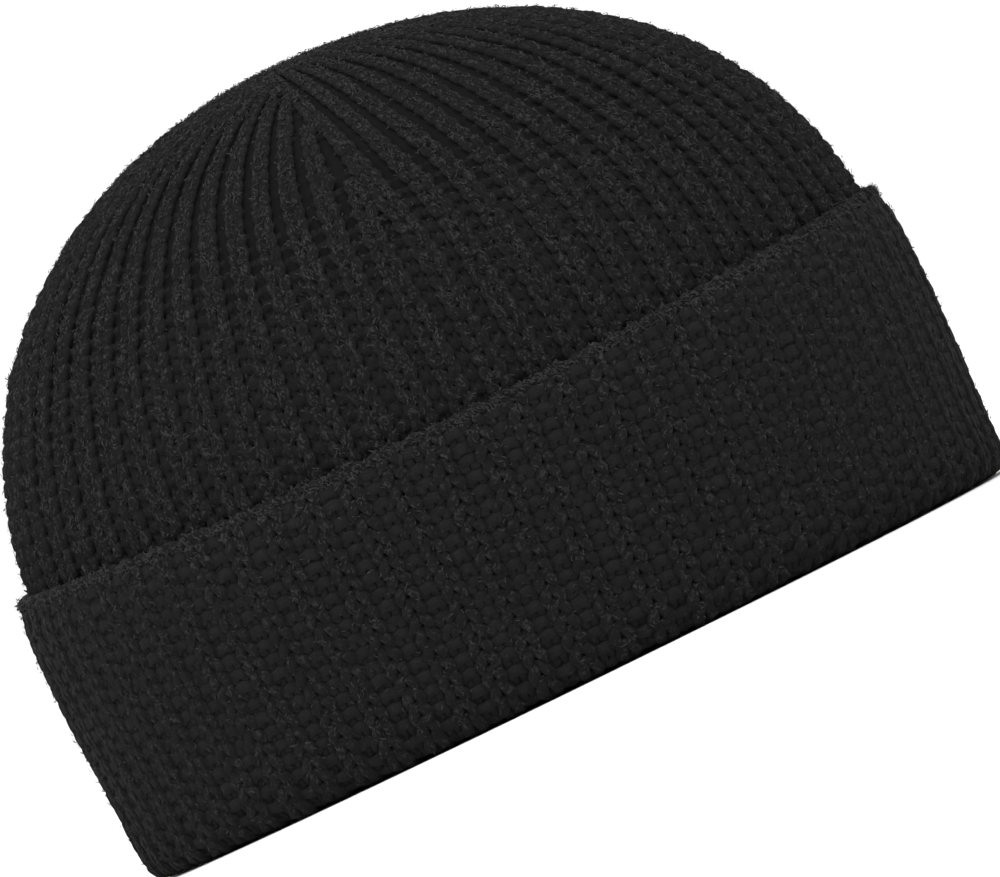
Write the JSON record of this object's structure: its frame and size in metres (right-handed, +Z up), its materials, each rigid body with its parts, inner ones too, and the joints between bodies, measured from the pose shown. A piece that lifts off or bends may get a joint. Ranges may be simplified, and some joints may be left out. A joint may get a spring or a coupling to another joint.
{
  "type": "knitted beanie",
  "caption": "Chunky black rib-knit beanie with a domed crown closed in gores and a deep turned-up cuff, standing on its fold.",
  "frame": {"origin": "middle of the rim, on the surface that the hat stands on", "axes": "+Z up to the crown, +X towards the forehead, +Y towards the wearer's left side"},
  "size_m": [0.2236, 0.1916, 0.158],
  "materials": {
    "wool": "matte, softly fuzzy"
  },
  "bodies": {
    "root": {"crown": "wool", "cuff": "wool"}
  },
  "joints": []
}
